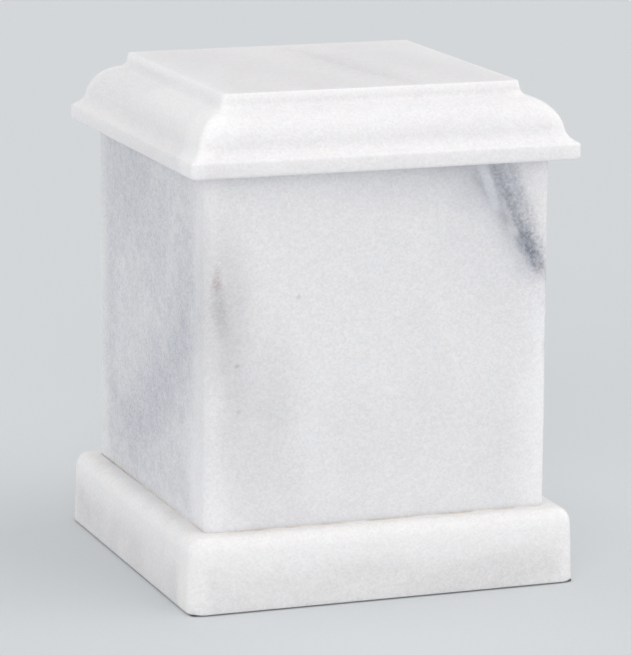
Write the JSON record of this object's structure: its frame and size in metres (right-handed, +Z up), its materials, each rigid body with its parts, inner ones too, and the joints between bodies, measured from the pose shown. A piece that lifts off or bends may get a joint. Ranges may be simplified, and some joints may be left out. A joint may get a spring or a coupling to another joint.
{
  "type": "cremation urn",
  "caption": "Small square marble cremation urn: a plain bored block on a slab plinth with rounded edges, closed by a moulded lift-off lid with a flat top.",
  "frame": {"origin": "middle of the plinth's underside, on the surface that the urn stands on", "axes": "+Z up through the lid, -Y towards the front, +X to the right as seen from the front"},
  "size_m": [0.11, 0.11, 0.1356],
  "materials": {
    "plinth_marble": "polished white marble, finely crystalline",
    "block_marble": "polished white marble, finely crystalline, with grey and blue-grey veins",
    "lid_marble": "polished white marble, finely crystalline"
  },
  "bodies": {
    "root": {"plinth": "plinth_marble", "urn_block": "block_marble", "lid": "lid_marble"}
  },
  "joints": []
}
